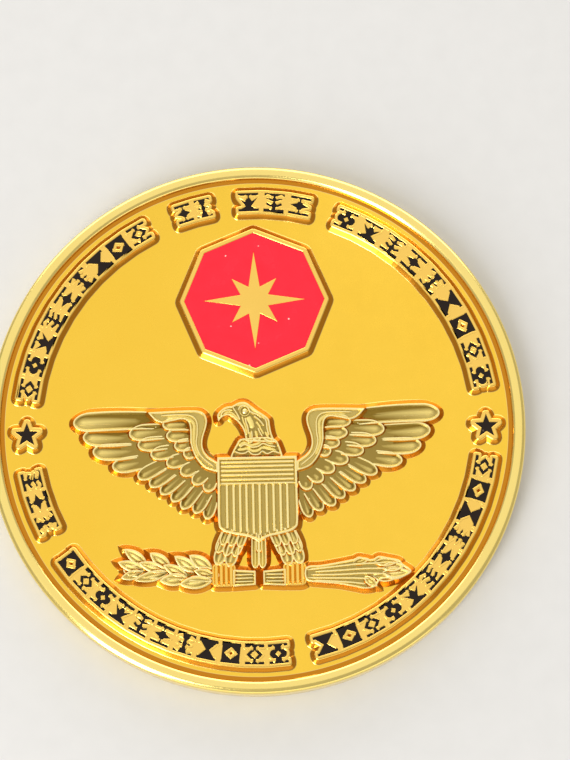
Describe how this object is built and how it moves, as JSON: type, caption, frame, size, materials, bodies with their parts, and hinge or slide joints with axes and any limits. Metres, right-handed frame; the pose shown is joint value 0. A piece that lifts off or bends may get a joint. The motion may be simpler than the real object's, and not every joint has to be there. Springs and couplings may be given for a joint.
{
  "type": "challenge coin",
  "caption": "Round gold-plated challenge coin with a rounded rim, a spread eagle and shield in relief, a red octagonal badge and a border of black enamel ornaments.",
  "frame": {"origin": "centre of the reverse rim's resting plane, on the coin's axis", "axes": "+Z out of the obverse along the coin's axis, +Y towards the top of the design, +X to the right as the obverse is read"},
  "size_m": [0.0444, 0.0444, 0.003],
  "materials": {
    "gold_plating": "gold plated, polished rim and satin fields",
    "red_enamel": "glossy hard enamel, polished level",
    "black_enamel": "glossy hard enamel, polished level"
  },
  "bodies": {
    "root": {"coin_body": "gold_plating", "badge_enamel": "red_enamel", "left_star_enamel": "black_enamel", "right_star_enamel": "black_enamel", "border_enamel_01": "black_enamel", "border_enamel_02": "black_enamel", "border_enamel_03": "black_enamel", "border_enamel_04": "black_enamel", "border_enamel_05": "black_enamel", "border_enamel_06": "black_enamel", "border_enamel_07": "black_enamel", "border_enamel_08": "black_enamel", "border_enamel_09": "black_enamel", "border_enamel_10": "black_enamel", "border_enamel_11": "black_enamel", "border_enamel_12": "black_enamel", "border_enamel_13": "black_enamel", "border_enamel_14": "black_enamel", "border_enamel_15": "black_enamel", "border_enamel_16": "black_enamel", "border_enamel_17": "black_enamel", "border_enamel_18": "black_enamel", "border_enamel_19": "black_enamel", "border_enamel_20": "black_enamel", "border_enamel_21": "black_enamel", "border_enamel_22": "black_enamel", "border_enamel_23": "black_enamel", "border_enamel_24": "black_enamel", "border_enamel_25": "black_enamel", "border_enamel_26": "black_enamel", "border_enamel_27": "black_enamel", "border_enamel_28": "black_enamel", "border_enamel_29": "black_enamel", "border_enamel_30": "black_enamel", "border_enamel_31": "black_enamel", "border_enamel_32": "black_enamel", "border_enamel_33": "black_enamel", "border_enamel_34": "black_enamel", "border_enamel_35": "black_enamel", "border_enamel_36": "black_enamel", "border_enamel_37": "black_enamel", "border_enamel_38": "black_enamel", "border_enamel_39": "black_enamel", "border_enamel_40": "black_enamel", "border_enamel_41": "black_enamel", "border_enamel_42": "black_enamel", "border_enamel_43": "black_enamel", "border_enamel_44": "black_enamel", "border_enamel_45": "black_enamel", "border_enamel_46": "black_enamel", "border_enamel_47": "black_enamel", "border_enamel_48": "black_enamel"}
  },
  "joints": []
}
